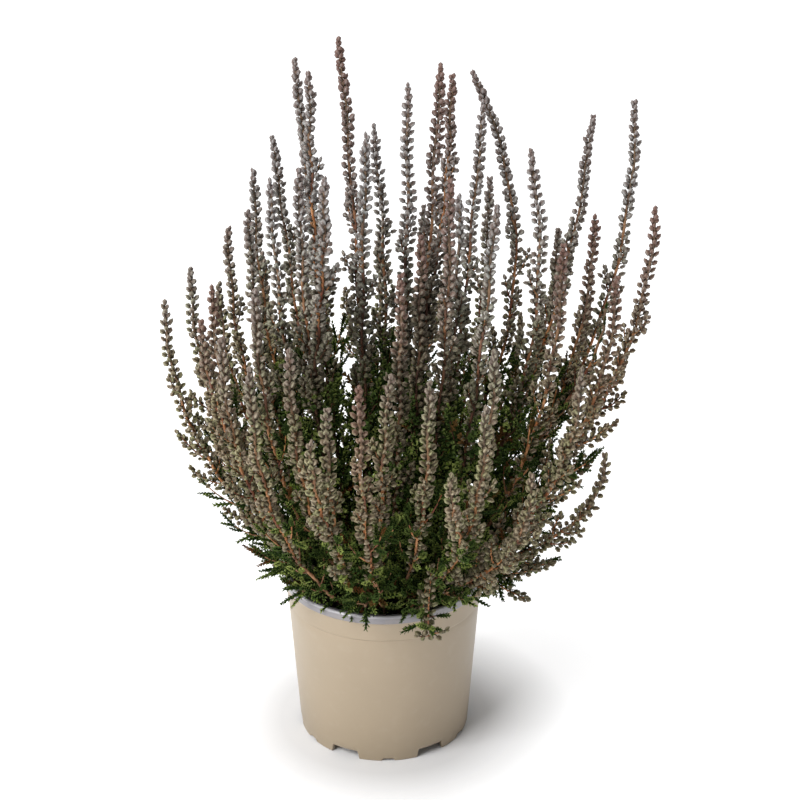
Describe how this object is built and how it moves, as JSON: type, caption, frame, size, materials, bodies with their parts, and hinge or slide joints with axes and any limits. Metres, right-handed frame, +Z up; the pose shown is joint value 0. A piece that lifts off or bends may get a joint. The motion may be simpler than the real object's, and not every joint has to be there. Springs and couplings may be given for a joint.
{
  "type": "potted heather",
  "caption": "Bushy budded heather with upright spikes over a leafy base, growing in soil in a round taupe plastic nursery pot with small feet.",
  "frame": {"origin": "on the pot's axis, on the underside of its centre foot, at the level the pot stands on", "axes": "+Z up along the pot's axis, -Y towards the viewer of the picture, +X to that viewer's right"},
  "size_m": [0.2801, 0.2591, 0.421],
  "materials": {
    "pot_plastic": "satin taupe",
    "potting_soil": "damp crumbly peat",
    "heather_buds": "closed mauve-brown and olive buds",
    "heather_leaves": "small scale leaves, satin green",
    "heather_bark": "thin copper-brown bark"
  },
  "bodies": {
    "root": {"pot": "pot_plastic", "potting_soil": "potting_soil", "stem_01": "heather_buds", "stem_02": "heather_buds", "stem_03": "heather_buds", "stem_04": "heather_buds", "stem_05": "heather_buds", "stem_06": "heather_buds", "stem_07": "heather_buds", "stem_08": "heather_buds", "stem_09": "heather_buds", "stem_10": "heather_buds", "stem_11": "heather_buds", "stem_12": "heather_buds", "stem_13": "heather_buds", "stem_14": "heather_buds", "stem_15": "heather_buds", "stem_16": "heather_buds", "stem_17": "heather_buds", "stem_18": "heather_buds", "stem_19": "heather_buds", "stem_20": "heather_buds", "stem_21": "heather_buds", "stem_22": "heather_buds", "stem_23": "heather_buds", "stem_24": "heather_buds", "stem_25": "heather_buds", "stem_26": "heather_buds", "stem_27": "heather_buds", "stem_28": "heather_buds", "stem_29": "heather_buds", "stem_30": "heather_buds", "stem_31": "heather_buds", "stem_32": "heather_buds", "stem_33": "heather_buds", "stem_34": "heather_buds", "stem_35": "heather_buds", "stem_36": "heather_buds", "stem_37": "heather_buds", "stem_38": "heather_buds", "stem_39": "heather_buds", "stem_40": "heather_buds", "stem_41": "heather_buds", "stem_42": "heather_buds", "stem_43": "heather_buds", "stem_44": "heather_buds", "stem_45": "heather_buds", "stem_46": "heather_buds", "stem_47": "heather_buds", "stem_48": "heather_buds", "stem_49": "heather_buds", "stem_50": "heather_buds", "stem_51": "heather_buds", "stem_52": "heather_buds", "leafy_spray_01": "heather_leaves", "leafy_spray_02": "heather_leaves", "leafy_spray_03": "heather_leaves", "leafy_spray_04": "heather_leaves", "leafy_spray_05": "heather_leaves", "leafy_spray_06": "heather_leaves"}
  },
  "joints": []
}
